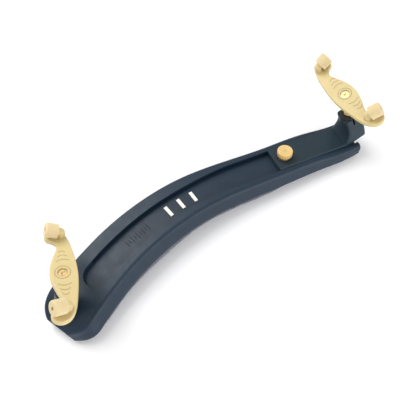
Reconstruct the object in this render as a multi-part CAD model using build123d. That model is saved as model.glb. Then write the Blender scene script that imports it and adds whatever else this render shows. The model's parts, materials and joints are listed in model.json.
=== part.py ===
from build123d import *
import math
import os

# Violin shoulder rest, lying foam side down. Millimetres, +Z up.
# Working frame while building: x runs along the extension slide towards its riser, y across
# towards the outer side of the curve, z = 0 is the top of the lips beside the slide and x = 0 is
# the slide's inner end. main() carries every piece from there to the resting position.

# Centre line of the rib: straight under the slide, then one arc in plan and one arc downwards.
# Stations are measured from the slide's inner end towards the wide end of the rib.
RIB_END_X = 60.0
BEND_START = 28.0
BEND_END = 139.0
BEND_DEG = 29.8
DROP_START = 48.0
DROP_DEG = 8.8

# Slide channel
CHANNEL_HALF = 9.2
CHANNEL_HALF_NARROW = 8.0
NARROW_START = 30.0
NARROW_END = 62.0
CHANNEL_DEPTH = 3.6
LIP_THICK = 1.5
UNDERCUT = 1.7
GROOVE_END = 134.0

# Rib cross-sections: station, far half width, near shoulder, near rim, top edge drop, rim depth.
RIB_SECTIONS = (
    (-60.0, 13.0, 12.6, 13.0, 0.0, 7.6),
    (-30.0, 13.3, 12.8, 14.6, 0.0, 8.0),
    (0.0, 13.2, 12.9, 15.5, 0.0, 8.7),
    (30.0, 13.8, 13.5, 16.2, 0.0, 9.2),
    (60.0, 15.6, 14.0, 16.7, 0.0, 9.6),
    (90.0, 16.6, 14.5, 17.5, 0.0, 9.8),
    (120.0, 17.0, 14.9, 18.2, 0.0, 9.8),
    (145.0, 17.7, 15.3, 18.7, 0.3, 9.8),
    (157.0, 18.4, 15.8, 19.4, 1.2, 10.3),
    (165.5, 17.6, 15.2, 19.2, 3.0, 11.2),
    (171.2, 15.0, 11.8, 15.6, 5.2, 12.3),
    (175.2, 10.4, 7.0, 10.0, 7.6, 13.3),
)
FAR_EDGE_DROP = 1.6
NEAR_EDGE_DROP = 1.0

# Foam pad: station, far half width, near half width, thickness.
PAD_SECTIONS = (
    (-57.0, 9.6, 10.8, 3.2),
    (-30.0, 10.6, 12.9, 4.2),
    (0.0, 11.6, 14.7, 4.8),
    (40.0, 13.0, 16.2, 5.8),
    (80.0, 15.0, 17.0, 6.8),
    (120.0, 16.0, 17.6, 7.6),
    (150.0, 16.8, 17.8, 8.0),
    (163.0, 15.6, 17.0, 7.0),
    (170.0, 11.6, 12.0, 5.0),
)
PAD_EDGE_ROUND = 2.6
LINER_THICK = 0.8
LINER_INSET = 0.6
TRIM_OVERLAP = 1.2
PAD_SQUASH = 1.0

# Extension slide
SLIDE_TOP = 0.8
SLIDE_HALF = 9.0
FLANGE_HALF = 10.6
SLIDE_BAR_LENGTH = 53.5
SLIDE_CHAMFER = 0.4
SLIDE_BOTTOM_GAP = 0.25
FLANGE_GAP = 0.15

# Stems and the bosses that grip them
STEM_LEAN = 21.0
STEM_R = 2.5
STEM_ROOT_R = 2.1
STEM_PITCH = 2.0
STEM_FIT = 0.06
JOURNAL_R = 2.4
STEM_IN_BOSS = 11.5
BORE_DEEP = 15.5
RISER_TOP = (52.9, 0.0, 21.1)
RISER_TOP_HALF_X = 5.6
RISER_TOP_HALF_Y = 5.9
RISER_TOP_CORNER = 2.2
# Riser below its mouth: x, height, lean, length, width, corner radius
RISER_SECTIONS = (
    (58.2, 0.2, 0.0, 16.8, 18.0, 1.6),
    (58.3, 6.0, 0.06, 13.6, 17.4, 1.8),
    (57.0, 12.5, 0.2, 12.2, 15.0, 2.0),
)
# Sloping cut under the riser: start x, start height, rise per unit of x
RISER_UNDERSIDE = (52.6, -0.1, 0.45)
LEFT_BOSS_STATION = 163.4
LEFT_BOSS_ASIDE = 2.4
LEFT_BOSS_HEIGHT = 13.0
BOSS_TOP_R = 5.4
BOSS_BASE_R = 7.4
BOSS_SLOT_W = 1.2
BOSS_SLOT_DEEP = 5.0
COLLAR_R = 5.4
COLLAR_THICK = 0.9
COLLAR_BORE_R = 2.8

# Forks. The leaf outline is given as (along, across) points, across growing outwards.
RIGHT_STEM_SHOWN = 22.6
LEFT_STEM_SHOWN = 18.4
RIGHT_TURN_DEG = 3.5
LEFT_TURN_DEG = -39.7
PLATE_THICK = 3.4
LEAF_ROUND = 0.9
LEAF_EDGE = (
    (0.0, 6.9), (4.2, 6.5), (9.6, 5.0), (15.0, 2.9), (19.6, 2.1), (22.6, 4.9), (24.6, 7.6), (27.4, 8.0),
    (30.2, 5.8), (31.0, 2.2), (29.3, -1.5), (24.5, -4.4), (15.0, -6.5), (6.0, -7.7), (0.0, -8.0),
)
HUB_R = 5.0
HUB_DEEP = 3.0
RECESS_R = 2.9
RECESS_DEEP = 0.9

# Rubber feet on the fork posts
POST_R = 2.3
POST_FIT = 0.05
FOOT_R = 4.2
FOOT_ROUND = 1.0
FOOT_LENGTH = 7.0
FOOT_RAISE_DEG = 20.0
FOOT_SPLAY_NEAR_DEG = 22.0
FOOT_SPLAY_FAR_DEG = 2.0
FOOT_FACE = (7.0, 26.5, 6.0)
FOOT_WALL_END = 1.8
FOOT_HOLE_R = 1.2
FOOT_GAP = 0.06
ELBOW_R = 2.3
ELBOW_BACK = 1.9

# Clamp
CLAMP_X = 7.6
KNOB_R = 5.1
KNOB_THICK = 3.8
KNOB_UNDER = 2.0
KNOB_FLUTES = 24
FLUTE_R = 0.35
SCREW_R = 2.0
INSERT_R = 3.4
INSERT_FLANGE_R = 4.2

# Marks on the channel floor
MARK_STATIONS = (60.0, 69.5, 79.0)
MARK_SIZE = (2.2, 8.0, 0.7)
MARK_SINK = 0.3

# Resting position
# The rest leans on both ends of its cushion, which lie at different heights and headings.
REST_TILT_DEG = 4.34
REST_ROLL_DEG = -2.48


def heading(s):
    """Plan direction of the rib at a station, in degrees."""
    return BEND_DEG * min(max((s - BEND_START) / (BEND_END - BEND_START), 0.0), 1.0)


def slope(s):
    """Downward slope of the rib towards its wide end, in degrees."""
    return DROP_DEG * min(max((s - DROP_START) / (BEND_END - DROP_START), 0.0), 1.0)


def direction(s):
    """Unit vector along the rib at a station, pointing towards the riser."""
    turn = math.radians(heading(s))
    fall = math.radians(slope(s))
    return Vector(math.cos(turn) * math.cos(fall), math.sin(turn) * math.cos(fall), math.sin(fall))


def centre(s):
    """Point of the centre line at a station, level with the lips."""
    if s <= 0:
        return Vector(-s, 0, 0)
    steps = max(int(s), 1)
    point = Vector(0, 0, 0)
    for i in range(steps):
        point = point - direction(s * (i + 0.5) / steps) * (s / steps)
    return point


def station_plane(s):
    """Plane across the rib: local x to the far side, local y up, normal towards the riser."""
    turn = math.radians(heading(s))
    return Plane(origin=centre(s), x_dir=Vector(-math.sin(turn), math.cos(turn), 0), z_dir=direction(s))


def station_up(s):
    return station_plane(s).y_dir


def between(s, stations, values):
    """Value at a station, read off straight lines between the listed stations."""
    if s <= stations[0]:
        return values[0]
    for i in range(1, len(stations)):
        if s <= stations[i]:
            share = (s - stations[i - 1]) / (stations[i] - stations[i - 1])
            return values[i - 1] + share * (values[i] - values[i - 1])
    return values[-1]


def rib_section(s, far, shoulder, rim, drop, depth):
    """Closed cross-section of the rib with rounded top edges and a spreading near flank."""
    top_far = (far - 2.2, -drop)
    side_far = (far, -drop - FAR_EDGE_DROP)
    foot_far = (far - 0.3, -depth)
    foot_near = (-rim, -depth)
    side_near = (-shoulder - 0.5, -drop - NEAR_EDGE_DROP - 0.9)
    top_near = (-shoulder + 2.4, -drop)
    edges = [
        Line(foot_near, foot_far),
        Line(foot_far, side_far),
        Spline(side_far, top_far, tangents=((0, 1), (-1, 0))),
        Line(top_far, top_near),
        Spline(top_near, side_near, tangents=((-1, 0), (-0.35, -1))),
        Spline(side_near, foot_near, tangents=((-0.35, -1), (-0.1, -1))),
    ]
    return station_plane(s) * Face(Wire(edges))


def channel_half(s):
    return between(s, (NARROW_START, NARROW_END), (CHANNEL_HALF, CHANNEL_HALF_NARROW))


def band(s, half, low, high):
    """Rectangle across the rib between two heights."""
    return station_plane(s) * (Pos(0, (low + high) / 2) * Rectangle(2 * half, high - low))


def channel_cuts():
    """Cutting solids for the slide channel and the grooves under its lips, in cutting order."""
    right_x = RIB_END_X + 4.0
    straight_end = BEND_START - 1.0
    length = right_x + straight_end
    x_mid = (right_x - straight_end) / 2
    mouth_high = 3.0
    tall = CHANNEL_DEPTH + mouth_high
    groove_high = CHANNEL_DEPTH - LIP_THICK
    mouth = Pos(x_mid, 0, mouth_high - tall / 2) * Box(length, 2 * CHANNEL_HALF, tall)
    groove_z = -CHANNEL_DEPTH + groove_high / 2
    groove = Pos(x_mid, 0, groove_z) * Box(length, 2 * (CHANNEL_HALF + UNDERCUT), groove_high)
    stations = (straight_end - 0.5, 40.0, 62.0, 80.0, 100.0, 120.0)
    mouth_bands = []
    for s in stations + (BEND_END,):
        mouth_bands.append(band(s, channel_half(s), -CHANNEL_DEPTH, mouth_high))
    groove_bands = []
    for s in stations + (GROOVE_END,):
        groove_bands.append(band(s, channel_half(s) + UNDERCUT, -CHANNEL_DEPTH, -LIP_THICK))
    end = Plane(origin=centre(BEND_END), x_dir=direction(BEND_END), z_dir=station_up(BEND_END))
    round_end = end * (Pos(0, 0, mouth_high - tall / 2) * Cylinder(CHANNEL_HALF_NARROW, tall))
    return mouth, groove, loft(mouth_bands), loft(groove_bands), round_end


def left_stem_plane():
    """Plane at the mouth of the left boss: normal along the stem, local x outwards."""
    s = LEFT_BOSS_STATION
    lean = math.radians(STEM_LEAN)
    along = direction(s)
    up = station_up(s)
    normal = up * math.cos(lean) + along * math.sin(lean)
    outwards = up * math.sin(lean) - along * math.cos(lean)
    base = centre(s) + station_plane(s).x_dir * LEFT_BOSS_ASIDE
    return Plane(origin=base + normal * LEFT_BOSS_HEIGHT, x_dir=outwards, z_dir=normal)


def right_stem_plane():
    """Plane at the mouth of the riser: normal along the stem, local x outwards."""
    lean = math.radians(STEM_LEAN)
    normal = Vector(-math.sin(lean), 0, math.cos(lean))
    outwards = Vector(math.cos(lean), 0, math.sin(lean))
    return Plane(origin=Vector(*RISER_TOP), x_dir=outwards, z_dir=normal)


def boss_cuts(mouth):
    """Bore for the stem and the two crossing slots that let the boss grip the thread."""
    bore = Pos(0, 0, -BORE_DEEP / 2 + 1) * Cylinder(STEM_R + STEM_FIT, BORE_DEEP + 2)
    reach = 4 * BOSS_BASE_R
    slot = Pos(0, 0, -BOSS_SLOT_DEEP / 2 + 1) * Box(reach, BOSS_SLOT_W, BOSS_SLOT_DEEP + 2)
    return mouth * (bore + slot + Rot(0, 0, 90) * slot)


def left_boss():
    """Tapered post that leans inwards over the wide end of the rib."""
    mouth = left_stem_plane()
    below = LEFT_BOSS_HEIGHT + 5.0
    cone = Pos(0, 0, -below / 2) * Cone(BOSS_BASE_R, BOSS_TOP_R, below)
    return mouth * cone


def mark_blank(s):
    plane = Plane(origin=centre(s), x_dir=direction(s), z_dir=station_up(s))
    along, across, high = MARK_SIZE
    mid = -CHANNEL_DEPTH - MARK_SINK + high / 2
    return plane * (Pos(0, 0, mid) * Box(along, across, high))


def rib_body():
    sections = [rib_section(*values) for values in RIB_SECTIONS]
    return loft(sections)


def rib():
    body = rib_body()
    for cut in channel_cuts():
        body -= cut
    body += left_boss()
    body -= boss_cuts(left_stem_plane())
    for s in MARK_STATIONS:
        body -= mark_blank(s)
    return body


def rib_depth(s):
    return between(s, [v[0] for v in RIB_SECTIONS], [v[5] for v in RIB_SECTIONS])


def pad_section(s, far, near, thick):
    """Rounded cushion section that reaches up into the rib so that it can be trimmed to it."""
    depth = rib_depth(s)
    top = -depth + TRIM_OVERLAP
    low = -depth - thick
    soft = min(PAD_EDGE_ROUND, thick * 0.8)
    x_near = -near
    edges = [
        Line((x_near, top), (x_near, low + soft)),
        Spline((x_near, low + soft), (x_near + soft, low), tangents=((0, -1), (1, 0))),
        Line((x_near + soft, low), (far - soft, low)),
        Spline((far - soft, low), (far, low + soft), tangents=((1, 0), (0, 1))),
        Line((far, low + soft), (far, top)),
        Line((far, top), (x_near, top)),
    ]
    return station_plane(s) * Face(Wire(edges))


def liner_block():
    return loft([band_between(v[0], v[1] - LINER_INSET, v[2] - LINER_INSET) for v in PAD_SECTIONS])


def band_between(s, far, near):
    depth = rib_depth(s)
    low = -depth - LINER_THICK
    high = -depth + TRIM_OVERLAP
    middle = (far - near) / 2
    return station_plane(s) * (Pos(middle, (low + high) / 2) * Rectangle(far + near, high - low))


def pad_liner(shell):
    return liner_block() - shell


def foam_pad(shell):
    cushion = loft([pad_section(*values) for values in PAD_SECTIONS])
    trimmed = cushion - shell - liner_block()
    return trimmed.solids().sort_by(SortBy.VOLUME)[-1]


def floor_marks():
    return Compound(children=[mark_blank(s) for s in MARK_STATIONS])


def collar(mouth):
    """Ring that closes round the split mouth of a boss."""
    ring = Cylinder(COLLAR_R, COLLAR_THICK) - Cylinder(COLLAR_BORE_R, COLLAR_THICK * 2)
    ring = chamfer(ring.edges().filter_by(GeomType.CIRCLE).sort_by(SortBy.RADIUS)[-2:], 0.3)
    return mouth * (Pos(0, 0, COLLAR_THICK / 2) * ring)


def riser():
    """Leaning post at the outer end of the slide, wide at its foot and narrow at its mouth."""
    mouth = right_stem_plane()
    sections = []
    for x, z, lean, length, width, corner in RISER_SECTIONS:
        level = Plane(origin=(x, 0, z), x_dir=(1, 0, lean), z_dir=(-lean, 0, 1))
        sections.append(level * RectangleRounded(length, width, corner))
    sections.append(mouth * RectangleRounded(2 * RISER_TOP_HALF_X, 2 * RISER_TOP_HALF_Y, RISER_TOP_CORNER))
    post = loft(sections)
    start_x, start_z, rise = RISER_UNDERSIDE
    under = Plane(origin=(start_x, 0, start_z), x_dir=(1, 0, rise), z_dir=(-rise, 0, 1))
    wedge = under * (Pos(10, 0, -5) * Box(20, 30, 10))
    return post - wedge


def slide_bar():
    low = -CHANNEL_DEPTH + SLIDE_BOTTOM_GAP
    end_x = SLIDE_BAR_LENGTH
    bar = Pos(end_x / 2, 0, (SLIDE_TOP + low) / 2) * Box(end_x, 2 * SLIDE_HALF, SLIDE_TOP - low)
    long_edges = bar.edges().filter_by(Axis.X).group_by(Axis.Z)[-1]
    inner_edge = bar.edges().filter_by(Axis.Y).group_by(Axis.Z)[-1].sort_by(Axis.X)[:1]
    bar = chamfer(long_edges + inner_edge, SLIDE_CHAMFER)
    high = -LIP_THICK - FLANGE_GAP
    bar += Pos(end_x / 2, 0, (high + low) / 2) * Box(end_x, 2 * FLANGE_HALF, high - low)
    return bar


def extension_slide():
    body = slide_bar() + riser()
    body -= boss_cuts(right_stem_plane())
    body -= Pos(CLAMP_X, 0, 0) * Cylinder(INSERT_R, 20)
    return body


def slide_insert():
    """Threaded brass bush with a thin flange on top of the bar."""
    low = -CHANNEL_DEPTH + SLIDE_BOTTOM_GAP
    flange_high = 0.5
    bush = Pos(0, 0, (low + SLIDE_TOP) / 2) * Cylinder(INSERT_R, SLIDE_TOP - low)
    bush += Pos(0, 0, SLIDE_TOP + flange_high / 2) * Cylinder(INSERT_FLANGE_R, flange_high)
    bush -= Cylinder(SCREW_R + STEM_FIT, 30)
    return Pos(CLAMP_X, 0, 0) * bush


def clamp_screw():
    low = -CHANNEL_DEPTH + 0.1
    high = SLIDE_TOP + KNOB_UNDER + KNOB_THICK - 1.2
    pin = Pos(0, 0, (low + high) / 2) * Cylinder(SCREW_R, high - low)
    pin = chamfer(pin.edges().filter_by(GeomType.CIRCLE).sort_by(Axis.Z)[0], 0.4)
    return Pos(CLAMP_X, 0, 0) * pin


def clamp_knob():
    """Round thumb knob with a fluted rim, a dished face and a short neck."""
    low = SLIDE_TOP + KNOB_UNDER
    disc = Pos(0, 0, low + KNOB_THICK / 2) * Cylinder(KNOB_R, KNOB_THICK)
    disc = fillet(disc.edges().filter_by(GeomType.CIRCLE), 0.7)
    neck_high = KNOB_UNDER - 0.9
    disc += Pos(0, 0, low - neck_high / 2) * Cylinder(3.2, neck_high)
    dish = Pos(0, 0, low + KNOB_THICK + 15.6) * Sphere(16.2)
    disc -= dish
    disc -= Pos(0, 0, low + KNOB_THICK) * Cylinder(0.7, 1.8)
    for i in range(KNOB_FLUTES):
        turn = Rot(0, 0, 360.0 * i / KNOB_FLUTES)
        disc -= turn * (Pos(KNOB_R + 0.1, 0, low + KNOB_THICK / 2) * Cylinder(FLUTE_R, KNOB_THICK + 2))
    pin_top = SLIDE_TOP + KNOB_UNDER + KNOB_THICK - 1.2
    disc -= Pos(0, 0, pin_top / 2) * Cylinder(SCREW_R + STEM_FIT, pin_top + 0.1)
    return Pos(CLAMP_X, 0, 0) * disc


def stem(mouth, shown):
    """Threaded stem: ridged below the fork, with a plain journal that carries the fork."""
    hub_low = shown - PLATE_THICK - HUB_DEEP
    points = [(0, -STEM_IN_BOSS), (STEM_ROOT_R, -STEM_IN_BOSS)]
    ridges = int((hub_low - 0.3 + STEM_IN_BOSS) / STEM_PITCH)
    for i in range(ridges):
        z = -STEM_IN_BOSS + i * STEM_PITCH
        points.append((STEM_ROOT_R, z + 0.25 * STEM_PITCH))
        points.append((STEM_R, z + 0.55 * STEM_PITCH))
        points.append((STEM_R, z + 0.7 * STEM_PITCH))
        points.append((STEM_ROOT_R, z + STEM_PITCH))
    points += [(STEM_ROOT_R, hub_low - 0.1), (JOURNAL_R, hub_low - 0.1)]
    top = shown - RECESS_DEEP
    points += [(JOURNAL_R, top), (0.9, top), (0.0, top - 0.7)]
    outline = Polyline(*points, close=True)
    profile = Face(Wire(outline.edges()))
    return mouth * revolve(Plane.XZ * profile, Axis.Z)


def fork_plane(mouth, shown, turn):
    """Plane on the upper face of a fork plate, local x outwards and local y along the leaf."""
    return mouth * Plane(Location((0, 0, shown), (0, 0, turn)))


def leaf():
    """Flat leaf plate that swells into a round lobe at each end, upper face at height zero."""
    mirrored = [(-along, across) for along, across in reversed(LEAF_EDGE[1:-1])]
    outline = [(across, along) for along, across in list(LEAF_EDGE) + mirrored]
    plate = extrude(Face(Wire(Spline(*outline, periodic=True))), amount=PLATE_THICK, dir=(0, 0, -1))
    rims = plate.edges().group_by(Axis.Z)
    return fillet(rims[0] + rims[-1], LEAF_ROUND)


def foot_frame(side, near):
    """Plane at the end face of a foot, normal along the foot."""
    across, along, high = FOOT_FACE
    splay = math.radians(FOOT_SPLAY_NEAR_DEG if side == near else FOOT_SPLAY_FAR_DEG)
    raise_by = math.radians(FOOT_RAISE_DEG)
    level = math.cos(raise_by)
    axis = Vector(level * math.cos(splay), side * level * math.sin(splay), math.sin(raise_by))
    return Plane(origin=(across, side * along, high), x_dir=(0, 1, 0), z_dir=axis)


def foot():
    """Rubber sleeve, open at its root and closed to a small hole at its end face."""
    sleeve = Pos(0, 0, -FOOT_LENGTH / 2) * Cylinder(FOOT_R, FOOT_LENGTH)
    sleeve = fillet(sleeve.edges().filter_by(GeomType.CIRCLE).sort_by(Axis.Z)[-1], FOOT_ROUND)
    depth = FOOT_LENGTH - FOOT_WALL_END
    sleeve -= Pos(0, 0, -FOOT_LENGTH + depth / 2) * Cylinder(POST_R + POST_FIT, depth)
    sleeve -= Cylinder(FOOT_HOLE_R, 3 * FOOT_WALL_END)
    return sleeve


def claw(frame):
    """Post inside a foot, turned down at its root into the plate."""
    low = -FOOT_LENGTH - ELBOW_BACK
    high = -FOOT_WALL_END - 0.1
    post = frame * (Pos(0, 0, (low + high) / 2) * Cylinder(POST_R, high - low))
    elbow = frame.from_local_coords(Vector(0, 0, low))
    bottom = -PLATE_THICK / 2
    leg = Pos(elbow.X, elbow.Y, (elbow.Z + bottom) / 2) * Cylinder(ELBOW_R, elbow.Z - bottom)
    return post + Pos(elbow.X, elbow.Y, elbow.Z) * Sphere(ELBOW_R) + leg


def fork_body(near):
    """Leaf plate, hub and claws of one fork; near is the side of the leaf that faces the rim."""
    body = leaf()
    hub_high = HUB_DEEP + PLATE_THICK / 2
    body += Pos(0, 0, -PLATE_THICK - HUB_DEEP + hub_high / 2) * Cylinder(HUB_R, hub_high)
    body -= Pos(0, 0, -RECESS_DEEP / 2) * Cylinder(RECESS_R, RECESS_DEEP)
    for side in (-1, 1):
        frame = foot_frame(side, near)
        envelope = Pos(0, 0, -FOOT_LENGTH / 2 + 1) * Cylinder(FOOT_R + FOOT_GAP, FOOT_LENGTH + 2)
        body -= frame * envelope
        body += claw(frame)
    body -= Cylinder(JOURNAL_R + STEM_FIT, 40)
    return body


def squashed(pad):
    """Cushion pressed flat where its two ends carry the rest."""
    box = pad.bounding_box()
    floor_high = box.min.Z + PAD_SQUASH
    return pad - Pos(0, 0, floor_high - 20) * Box(1000, 1000, 40)


def main():
    right = right_stem_plane()
    left = left_stem_plane()
    right_fork = fork_plane(right, RIGHT_STEM_SHOWN, RIGHT_TURN_DEG)
    left_fork = fork_plane(left, LEFT_STEM_SHOWN, LEFT_TURN_DEG)
    shell = rib()
    sleeve = foot()
    pieces = {
        "rib": shell,
        "foam_pad": foam_pad(shell),
        "pad_liner": pad_liner(shell),
        "floor_marks": floor_marks(),
        "collar_left": collar(left),
        "extension_slide": extension_slide(),
        "slide_insert": slide_insert(),
        "collar_right": collar(right),
        "clamp_screw": clamp_screw(),
        "clamp_knob": clamp_knob(),
        "stem_left": stem(left, LEFT_STEM_SHOWN),
        "fork_left": left_fork * fork_body(1),
        "foot_left_far": left_fork * (foot_frame(-1, 1) * sleeve),
        "foot_left_near": left_fork * (foot_frame(1, 1) * sleeve),
        "stem_right": stem(right, RIGHT_STEM_SHOWN),
        "fork_right": right_fork * fork_body(-1),
        "foot_right_far": right_fork * (foot_frame(1, -1) * sleeve),
        "foot_right_near": right_fork * (foot_frame(-1, -1) * sleeve),
    }
    turn = Rot(0, REST_TILT_DEG, 0) * Rot(REST_ROLL_DEG, 0, 0)
    tilted = {name: turn * shape for name, shape in pieces.items()}
    tilted["foam_pad"] = squashed(tilted["foam_pad"])
    boxes = [shape.bounding_box() for shape in tilted.values()]
    low = [min(tuple(box.min)[i] for box in boxes) for i in range(3)]
    high = [max(tuple(box.max)[i] for box in boxes) for i in range(3)]
    shift = (-(low[0] + high[0]) / 2, -(low[1] + high[1]) / 2, -low[2])
    os.makedirs("parts", exist_ok=True)
    for name, shape in tilted.items():
        export_step(Pos(*shift) * shape, f"parts/{name}.step")
        print(name, round(shape.volume / 1000, 3), "cm3", len(shape.solids()), "solid(s)")
    print("size", [round(high[i] - low[i], 2) for i in range(3)])
    points = {"left": left.origin, "right": right.origin, "clamp": Vector(CLAMP_X, 0, 0)}
    for name, point in points.items():
        print(name, "point", (Pos(*shift) * turn * Pos(*point)).position)
    axes = {"left": left.z_dir, "right": right.z_dir, "slide": Vector(1, 0, 0), "clamp": Vector(0, 0, 1)}
    for name, axis in axes.items():
        print(name, "axis", (turn * Pos(*axis)).position)
    print("shift", shift)


main()
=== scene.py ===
import bpy
import bmesh
import json
import math
from mathutils import Matrix, Vector


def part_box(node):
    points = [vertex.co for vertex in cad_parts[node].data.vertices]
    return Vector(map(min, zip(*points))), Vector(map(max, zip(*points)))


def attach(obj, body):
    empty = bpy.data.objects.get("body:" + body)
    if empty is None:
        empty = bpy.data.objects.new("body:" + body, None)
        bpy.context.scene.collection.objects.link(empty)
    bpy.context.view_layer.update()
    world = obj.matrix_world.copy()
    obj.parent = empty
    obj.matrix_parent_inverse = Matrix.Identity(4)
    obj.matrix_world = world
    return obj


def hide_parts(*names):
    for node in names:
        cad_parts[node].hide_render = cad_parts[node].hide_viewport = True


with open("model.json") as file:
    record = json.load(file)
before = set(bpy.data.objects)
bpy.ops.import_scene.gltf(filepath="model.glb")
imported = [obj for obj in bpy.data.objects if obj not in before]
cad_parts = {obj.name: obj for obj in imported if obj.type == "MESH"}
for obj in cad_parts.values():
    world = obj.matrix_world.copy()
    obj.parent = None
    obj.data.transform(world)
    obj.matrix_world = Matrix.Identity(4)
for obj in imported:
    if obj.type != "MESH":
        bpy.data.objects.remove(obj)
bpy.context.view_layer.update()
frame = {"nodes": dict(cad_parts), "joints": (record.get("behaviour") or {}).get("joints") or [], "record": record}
MM = 0.001
NODES = frame["nodes"]
JOINTS = {joint["name"]: joint for joint in frame["joints"]}
MOUNTS = {mount["name"]: mount for mount in frame["record"]["mounts"]}

# Centre line of the rib, as the part is drawn: stations run from the slide's inner end to the wide end.
CLAMP_STATION = 7.6 * MM
BEND_START = 28.0 * MM
BEND_END = 139.0 * MM
BEND_TURN = math.radians(29.8)
DROP_START = 48.0 * MM
DROP_TURN = math.radians(8.8)
CHANNEL_DEPTH = 3.6 * MM

# Camera, placed from the clamp knob
CAMERA_FROM_KNOB = Vector((-0.1255018, -0.1781112, 0.2947272))
CAMERA_TURN = (31.6862, 3.0576, -24.4911)
CAMERA_LENS = 48.719
CAMERA_SENSOR = 36.0


# ---------------------------------------------------------------- rig: places in the part's own frame

KNOB_POINT = Vector(JOINTS["clamp_turn"]["pos_m"])
ALONG = Vector(JOINTS["slide_extension"]["axis"]).normalized()
UP = Vector(JOINTS["clamp_turn"]["axis"]).normalized()
ACROSS = UP.cross(ALONG).normalized()
SLIDE_ORIGIN = KNOB_POINT - CLAMP_STATION * ALONG


def share(s, start, end):
    return min(max((s - start) / (end - start), 0.0), 1.0)


def rib_direction(s):
    """Unit vector along the rib towards the riser, in the slide's axes."""
    turn = BEND_TURN * share(s, BEND_START, BEND_END)
    fall = DROP_TURN * share(s, DROP_START, BEND_END)
    return Vector((math.cos(turn) * math.cos(fall), math.sin(turn) * math.cos(fall), math.sin(fall)))


def rib_frame(s):
    """Matrix at a station: x to the riser, y to the outer side, z up, origin level with the lips."""
    steps = max(int(s / MM), 1)
    point = Vector((0, 0, 0))
    for i in range(steps):
        point -= rib_direction(s * (i + 0.5) / steps) * (s / steps)
    forward = rib_direction(s)
    side = Vector((0, 0, 1)).cross(forward).normalized()
    lift = forward.cross(side)
    local = Matrix((forward, side, lift)).transposed().to_4x4()
    local.translation = point
    world = Matrix((ALONG, ACROSS, UP)).transposed().to_4x4()
    world.translation = SLIDE_ORIGIN
    return world @ local


def middle(node):
    low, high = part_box(node)
    return (low + high) / 2


def fork_frame(side):
    """Matrix on a fork plate: z along the stem, y along the leaf to its near foot, origin on the face."""
    mount = MOUNTS[side + "_fork_grip"]
    axis = Vector(mount["axis"]).normalized()
    leaf = middle(f"foot_{side}_near") - middle(f"foot_{side}_far")
    leaf = (leaf - leaf.dot(axis) * axis).normalized()
    outward = leaf.cross(axis)
    matrix = Matrix((outward, leaf, axis)).transposed().to_4x4()
    matrix.translation = Vector(mount["pos_m"])
    return matrix


# ---------------------------------------------------------------- materials

def link(material, source, target):
    material.node_tree.links.new(source, target)


def noise(material, scale, detail=3.0, rough=0.55, stretch=(1, 1, 1)):
    """Noise in the object's own coordinates, scale in cycles per metre."""
    nodes = material.node_tree.nodes
    place = nodes.new("ShaderNodeTexCoord")
    mapping = nodes.new("ShaderNodeMapping")
    mapping.inputs["Scale"].default_value = stretch
    texture = nodes.new("ShaderNodeTexNoise")
    texture.inputs["Scale"].default_value = scale
    texture.inputs["Detail"].default_value = detail
    texture.inputs["Roughness"].default_value = rough
    link(material, place.outputs["Object"], mapping.inputs["Vector"])
    link(material, mapping.outputs["Vector"], texture.inputs["Vector"])
    return texture.outputs["Fac"]


def cells(material, scale, feature="F1"):
    nodes = material.node_tree.nodes
    place = nodes.new("ShaderNodeTexCoord")
    texture = nodes.new("ShaderNodeTexVoronoi")
    texture.feature = feature
    texture.inputs["Scale"].default_value = scale
    link(material, place.outputs["Object"], texture.inputs["Vector"])
    return texture.outputs["Distance"]


def ramp(material, value, stops):
    """Colour ramp over a value; stops are (position, colour)."""
    node = material.node_tree.nodes.new("ShaderNodeValToRGB")
    band = node.color_ramp
    while len(band.elements) < len(stops):
        band.elements.new(0.5)
    for element, (position, colour) in zip(band.elements, stops):
        element.position = position
        element.color = (*colour, 1)
    link(material, value, node.inputs["Fac"])
    return node.outputs["Color"]


def spread(material, value, low, high):
    node = material.node_tree.nodes.new("ShaderNodeMapRange")
    node.inputs["From Min"].default_value = 0.3
    node.inputs["From Max"].default_value = 0.7
    node.inputs["To Min"].default_value = low
    node.inputs["To Max"].default_value = high
    link(material, value, node.inputs["Value"])
    return node.outputs["Result"]


def bump(material, value, depth, strength, normal=None):
    node = material.node_tree.nodes.new("ShaderNodeBump")
    node.inputs["Distance"].default_value = depth
    node.inputs["Strength"].default_value = strength
    link(material, value, node.inputs["Height"])
    if normal is not None:
        link(material, normal, node.inputs["Normal"])
    return node.outputs["Normal"]


def new_material(name):
    material = bpy.data.materials.new(name)
    material.use_nodes = True
    return material, material.node_tree.nodes["Principled BSDF"]


def tones(colour, spread_by):
    dark = tuple(c * (1 - spread_by) for c in colour)
    light = tuple(min(c * (1 + spread_by), 1.0) for c in colour)
    return [(0.3, dark), (0.7, light)]


def moulded_plastic(name, colour, roughness, grain=2600.0, variation=0.10, depth=0.00006, sheen_spots=0.08):
    """Moulded plastic: fine grain, soft flow marks and slightly uneven gloss."""
    material, shader = new_material(name)
    flow = noise(material, 45.0, 4.0, 0.6, (0.5, 1.6, 1.0))
    link(material, ramp(material, flow, tones(colour, variation)), shader.inputs["Base Color"])
    smudge = noise(material, 120.0, 5.0, 0.65)
    gloss = spread(material, smudge, roughness - sheen_spots, roughness + sheen_spots)
    link(material, gloss, shader.inputs["Roughness"])
    waves = bump(material, noise(material, 260.0, 2.0, 0.5), 0.00008, 0.12)
    fine = bump(material, noise(material, grain, 3.0, 0.6), depth, 0.35, waves)
    link(material, fine, shader.inputs["Normal"])
    return material, shader


def shell_plastic():
    material, shader = moulded_plastic("shell_satin", (0.010, 0.024, 0.042), 0.42)
    shader.inputs["Specular IOR Level"].default_value = 0.34
    return material


def slide_plastic():
    material, shader = moulded_plastic("slide_satin", (0.013, 0.028, 0.040), 0.44, grain=3200.0)
    shader.inputs["Specular IOR Level"].default_value = 0.34
    return material


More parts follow.
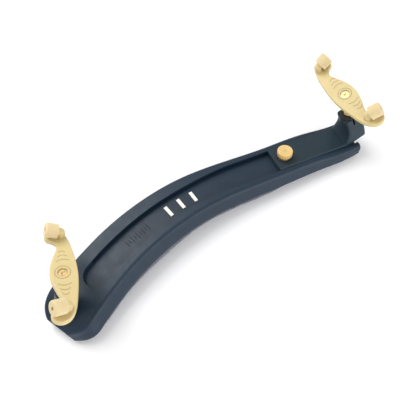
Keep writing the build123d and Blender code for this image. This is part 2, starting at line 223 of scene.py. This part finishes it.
def dark_plastic():
    material, shader = moulded_plastic("collar_black", (0.013, 0.015, 0.02), 0.5, variation=0.2)
    shader.inputs["Specular IOR Level"].default_value = 0.45
    return material


def cream_plastic():
    material, shader = moulded_plastic("fork_cream", (0.62, 0.50, 0.235), 0.42, grain=1900.0, variation=0.045)
    shader.inputs["Subsurface Weight"].default_value = 0.25
    shader.inputs["Subsurface Radius"].default_value = (0.004, 0.003, 0.0015)
    shader.inputs["Subsurface Scale"].default_value = 1.0
    return material


def mark_plastic():
    material, shader = moulded_plastic("mark_white", (0.84, 0.82, 0.74), 0.45, variation=0.03)
    shader.inputs["Specular IOR Level"].default_value = 0.4
    return material


def knob_plastic():
    material, shader = moulded_plastic("knob_cream", (0.72, 0.50, 0.20), 0.36, grain=1700.0, variation=0.04)
    shader.inputs["Subsurface Weight"].default_value = 0.2
    shader.inputs["Subsurface Radius"].default_value = (0.004, 0.003, 0.0015)
    shader.inputs["Subsurface Scale"].default_value = 1.0
    return material


def foot_rubber():
    material, shader = moulded_plastic("foot_rubber", (0.66, 0.53, 0.29), 0.62, grain=3600.0, variation=0.06)
    shader.inputs["Subsurface Weight"].default_value = 0.35
    shader.inputs["Subsurface Radius"].default_value = (0.004, 0.0025, 0.0012)
    shader.inputs["Subsurface Scale"].default_value = 1.0
    shader.inputs["Sheen Weight"].default_value = 0.15
    return material


def foam():
    """Closed-cell foam: small pores painted darker as shade in their hollows, soft unevenness and a dusty sheen.
    """
    material, shader = new_material("foam_cells")
    pores = cells(material, 1500.0)
    # painted shade: the pore centres are coloured darker than the cell walls, standing for shade in the hollows
    shade = ramp(material, pores, [(0.0, (0.045, 0.047, 0.06)), (0.8, (0.10, 0.105, 0.135))])
    patch = ramp(material, noise(material, 90.0, 4.0), [(0.3, (0.78, 0.78, 0.82)), (0.7, (1.0, 1.0, 1.0))])
    mix = material.node_tree.nodes.new("ShaderNodeMix")
    mix.data_type = "RGBA"
    mix.blend_type = "MULTIPLY"
    mix.inputs["Factor"].default_value = 1.0
    link(material, shade, mix.inputs["A"])
    link(material, patch, mix.inputs["B"])
    link(material, mix.outputs["Result"], shader.inputs["Base Color"])
    shader.inputs["Roughness"].default_value = 0.85
    shader.inputs["Sheen Weight"].default_value = 0.35
    shader.inputs["Sheen Roughness"].default_value = 0.5
    soft = bump(material, noise(material, 320.0, 4.0), 0.0003, 0.35)
    link(material, bump(material, pores, 0.00025, 0.6, soft), shader.inputs["Normal"])
    return material


def liner_sheet():
    material, shader = new_material("liner_sheet")
    weave = noise(material, 1400.0, 2.0, 0.5, (1, 3, 1))
    link(material, ramp(material, weave, tones((0.022, 0.023, 0.03), 0.4)), shader.inputs["Base Color"])
    shader.inputs["Roughness"].default_value = 0.8
    link(material, bump(material, weave, 0.0001, 0.5), shader.inputs["Normal"])
    return material


def metal(name, colour, roughness, turned=2400.0):
    """Turned metal with fine circular tool marks across its length and a little tarnish."""
    material, shader = new_material(name)
    tarnish = noise(material, 500.0, 4.0, 0.6)
    link(material, ramp(material, tarnish, tones(colour, 0.16)), shader.inputs["Base Color"])
    shader.inputs["Metallic"].default_value = 1.0
    link(material, spread(material, tarnish, roughness - 0.06, roughness + 0.1), shader.inputs["Roughness"])
    marks = noise(material, turned, 2.0, 0.5, (0.3, 0.3, 4.0))
    link(material, bump(material, marks, 0.00003, 0.4), shader.inputs["Normal"])
    return material


def groove_shade():
    material, shader = moulded_plastic("groove_shade", (0.36, 0.29, 0.12), 0.6, variation=0.12)
    shader.inputs["Specular IOR Level"].default_value = 0.3
    return material


def paint_cad_nodes():
    looks = {
        "shell": (shell_plastic(), ["rib"]),
        "slide": (slide_plastic(), ["extension_slide"]),
        "dark": (dark_plastic(), ["collar_left", "collar_right"]),
        "cream": (cream_plastic(), ["fork_left", "fork_right"]),
        "mark": (mark_plastic(), ["floor_marks"]),
        "knob": (knob_plastic(), ["clamp_knob"]),
        "rubber": (foot_rubber(), [n for n in NODES if n.startswith("foot_")]),
        "liner": (liner_sheet(), ["pad_liner"]),
        "foam": (foam(), ["foam_pad"]),
        "brass": (metal("brass_turned", (0.72, 0.52, 0.24), 0.3), ["slide_insert", "stem_left", "stem_right"]),
        "steel": (metal("steel_turned", (0.55, 0.55, 0.57), 0.3), ["clamp_screw"]),
    }
    for material, names in looks.values():
        for name in names:
            node = NODES[name]
            if not node.data.materials:
                node.data.materials.append(material)
            for slot in range(len(node.data.materials)):
                node.data.materials[slot] = material
    return {key: material for key, (material, names) in looks.items()}


# ---------------------------------------------------------------- foam pad

PAD_VOXEL = 1.5 * MM
PAD_PRESSURE = 4.0
PAD_STEPS = 20
PAD_SWELL = 0.45 * MM
PAD_SHRINK = 0.25 * MM
PAD_HELD = 1.4 * MM
PAD_CREASE = 0.22 * MM
PAD_CREASE_PITCH = 9.0 * MM


def pad_copy():
    """Closed copy of the pad's solid, remeshed evenly so that it can swell."""
    pad = NODES["foam_pad"].copy()
    pad.data = NODES["foam_pad"].data.copy()
    pad.name = "foam_cushion"
    pad.data.name = "foam_cushion"
    for key in list(pad.keys()):
        del pad[key]
    pad.parent = None
    bpy.context.scene.collection.objects.link(pad)
    bpy.context.view_layer.objects.active = pad
    weld = pad.modifiers.new("weld", "WELD")
    weld.merge_threshold = 0.02 * MM
    remesh = pad.modifiers.new("remesh", "REMESH")
    remesh.mode = "VOXEL"
    remesh.voxel_size = PAD_VOXEL
    smooth = pad.modifiers.new("smooth", "SMOOTH")
    smooth.factor = 0.5
    smooth.iterations = 3
    bake_modifiers(pad)
    return pad


def bake_modifiers(piece):
    """Replaces a piece's mesh with what its modifiers make of it."""
    graph = bpy.context.evaluated_depsgraph_get()
    mesh = bpy.data.meshes.new_from_object(piece.evaluated_get(graph))
    piece.modifiers.clear()
    piece.data = mesh


def swell(pad):
    """Lets the pad swell like foam under its skin, capped so that it keeps to its place."""
    start = [vertex.co.copy() for vertex in pad.data.vertices]
    normals = [vertex.normal.copy() for vertex in pad.data.vertices]
    floor = min(point.z for point in start)
    held = pad.vertex_groups.new(name="held")
    for i, point in enumerate(start):
        if normals[i].z > 0.6 or point.z < floor + PAD_HELD:
            held.add([i], 1.0, "REPLACE")
    for i, vertex in enumerate(pad.data.vertices):
        vertex.co = start[i] - normals[i] * PAD_SHRINK
    cloth = pad.modifiers.new("cloth", "CLOTH")
    cloth.settings.use_pressure = True
    cloth.settings.uniform_pressure_force = PAD_PRESSURE
    cloth.settings.effector_weights.gravity = 0.0
    cloth.settings.vertex_group_mass = "held"
    cloth.settings.quality = 4
    cloth.point_cache.frame_start = 1
    cloth.point_cache.frame_end = PAD_STEPS
    for step in range(1, PAD_STEPS + 1):
        bpy.context.scene.frame_set(step)
    graph = bpy.context.evaluated_depsgraph_get()
    blown = bpy.data.meshes.new_from_object(pad.evaluated_get(graph))
    moved = [vertex.co.copy() for vertex in blown.vertices]
    pad.modifiers.clear()
    bpy.context.scene.frame_set(1)
    for i, vertex in enumerate(pad.data.vertices):
        step = moved[i] - start[i]
        if step.length > PAD_SWELL:
            step = step.normalized() * PAD_SWELL
        vertex.co = start[i] + step
        vertex.co.z = max(vertex.co.z, floor)
    pad.vertex_groups.clear()


def crease(pad):
    """Soft shallow creases round the pad's flank, where thick foam has been bent to the rib."""
    floor = min(vertex.co.z for vertex in pad.data.vertices)
    for vertex in pad.data.vertices:
        flank = 1.0 - min(abs(vertex.normal.z) / 0.7, 1.0)
        lift = min((vertex.co.z - floor) / PAD_HELD, 1.0)
        wave = math.sin(2 * math.pi * vertex.co.x / PAD_CREASE_PITCH + 40 * vertex.co.y)
        vertex.co -= vertex.normal * (PAD_CREASE * flank * lift * (0.5 + 0.5 * wave) ** 3)


def settle(pad):
    """Presses the two ends that carry the rest flat on the ground again."""
    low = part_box("foam_pad")[0].z
    lowest = min(vertex.co.z for vertex in pad.data.vertices)
    for vertex in pad.data.vertices:
        if vertex.co.z < lowest + PAD_HELD:
            vertex.co.z -= (lowest - low) * (1 - (vertex.co.z - lowest) / PAD_HELD)


def add_foam_pad(material):
    pad = pad_copy()
    swell(pad)
    crease(pad)
    settle(pad)
    smooth = pad.modifiers.new("finish", "SUBSURF")
    smooth.levels = 1
    smooth.render_levels = 1
    bake_modifiers(pad)
    pad.data.materials.clear()
    pad.data.materials.append(material)
    for polygon in pad.data.polygons:
        polygon.use_smooth = True
    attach(pad, "rib_body")
    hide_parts("foam_pad")


# ---------------------------------------------------------------- engraved ornament

ORNAMENT_DEPTH = 0.02 * MM
ORNAMENT_WIRE = 0.17 * MM
TICK_WIRE = 0.22 * MM


def curve_piece(name, strokes, matrix, radius, material, body):
    """Fine rounded lines, each half sunk in a surface, as one piece."""
    data = bpy.data.curves.new(name, "CURVE")
    data.dimensions = "3D"
    data.bevel_depth = radius
    data.bevel_resolution = 3
    data.resolution_u = 8
    data.use_fill_caps = True
    for points, closed in strokes:
        spline = data.splines.new("NURBS")
        spline.points.add(len(points) - 1)
        for target, point in zip(spline.points, points):
            target.co = (*point, 1)
        spline.order_u = 3
        spline.use_cyclic_u = closed
        spline.use_endpoint_u = not closed
    piece = bpy.data.objects.new(name, data)
    bpy.context.scene.collection.objects.link(piece)
    piece.matrix_world = matrix
    data.materials.append(material)
    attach(piece, body)
    return piece


def leaf_strokes():
    """Nested chevrons and a ring: a plain engraved ornament along a fork's leaf."""
    strokes = []
    for side in (-1, 1):
        for reach, half in ((7.6, 3.4), (10.6, 2.6), (13.6, 1.7)):
            tip = side * (reach + 2.2) * MM
            foot = side * reach * MM
            arc = [(-half * MM - 0.6 * MM, foot, 0), (-0.6 * MM, tip, 0), (half * MM - 0.6 * MM, foot, 0)]
            strokes.append((arc, False))
    ring = []
    for i in range(16):
        turn = 2 * math.pi * i / 16
        ring.append((4.2 * MM * math.cos(turn), 4.2 * MM * math.sin(turn), 0))
    strokes.append((ring, True))
    return strokes


def add_fork_ornament(side, material):
    lower = Matrix.Translation((0, 0, -ORNAMENT_DEPTH))
    place = fork_frame(side) @ lower
    name = f"fork_ornament_{side}"
    curve_piece(name, leaf_strokes(), place, ORNAMENT_WIRE, material, f"{side}_fork_body")


def tick_strokes(count, pitch, half):
    strokes = []
    for i in range(count):
        x = (i - (count - 1) / 2) * pitch
        reach = half if i % 2 == 0 else half * 0.6
        strokes.append(([(x, -reach, 0), (x, 0, 0), (x, reach, 0)], False))
    return strokes


def add_channel_ticks(name, station, count, pitch, half, material):
    """Setting marks moulded in the channel floor."""
    lower = Matrix.Translation((0, 0, -CHANNEL_DEPTH))
    place = rib_frame(station) @ lower
    curve_piece(name, tick_strokes(count, pitch, half), place, TICK_WIRE, material, "rib_body")


# ---------------------------------------------------------------- studio

def add_camera():
    data = bpy.data.cameras.new("camera")
    data.lens = CAMERA_LENS
    data.sensor_width = CAMERA_SENSOR
    data.clip_start = 0.01
    camera = bpy.data.objects.new("camera", data)
    camera.location = KNOB_POINT + CAMERA_FROM_KNOB
    camera.rotation_euler = [math.radians(v) for v in CAMERA_TURN]
    bpy.context.scene.collection.objects.link(camera)
    bpy.context.scene.camera = camera


def add_floor():
    mesh = bpy.data.meshes.new("floor")
    half = 2.5
    corners = [(-half, -half, 0), (half, -half, 0), (half, half, 0), (-half, half, 0)]
    mesh.from_pydata(corners, [], [(0, 1, 2, 3)])
    floor = bpy.data.objects.new("floor", mesh)
    bpy.context.scene.collection.objects.link(floor)
    material, shader = new_material("floor_white")
    shader.inputs["Base Color"].default_value = (0.95, 0.95, 0.95, 1)
    shader.inputs["Roughness"].default_value = 0.9
    mesh.materials.append(material)


def area_light(name, place, size, power, colour=(1, 1, 1)):
    data = bpy.data.lights.new(name, "AREA")
    data.shape = "RECTANGLE"
    data.size = size
    data.size_y = size
    data.energy = power
    data.color = colour
    lamp = bpy.data.objects.new(name, data)
    lamp.location = place
    aim = Vector((0, 0, 0.02)) - Vector(place)
    lamp.rotation_euler = aim.to_track_quat("-Z", "Y").to_euler()
    bpy.context.scene.collection.objects.link(lamp)


def add_lights():
    world = bpy.data.worlds.new("studio")
    world.use_nodes = True
    back = world.node_tree.nodes["Background"]
    back.inputs["Color"].default_value = (1, 1, 1, 1)
    back.inputs["Strength"].default_value = 0.62
    bpy.context.scene.world = world
    bpy.context.scene.view_settings.view_transform = "Standard"
    area_light("key", (-0.25, 0.50, 0.75), 0.7, 7.0)
    area_light("near_fill", (0.25, -0.75, 0.35), 0.8, 5.0, (0.93, 0.94, 1.0))


add_camera()
LOOKS = paint_cad_nodes()
add_foam_pad(LOOKS["foam"])
GROOVE = groove_shade()
for side in ("left", "right"):
    add_fork_ornament(side, GROOVE)
add_channel_ticks("channel_ticks_inner", 37.0 * MM, 7, 1.9 * MM, 2.6 * MM, LOOKS["dark"])
add_channel_ticks("channel_ticks_outer", 104.0 * MM, 9, 2.1 * MM, 2.4 * MM, LOOKS["dark"])
add_floor()
add_lights()
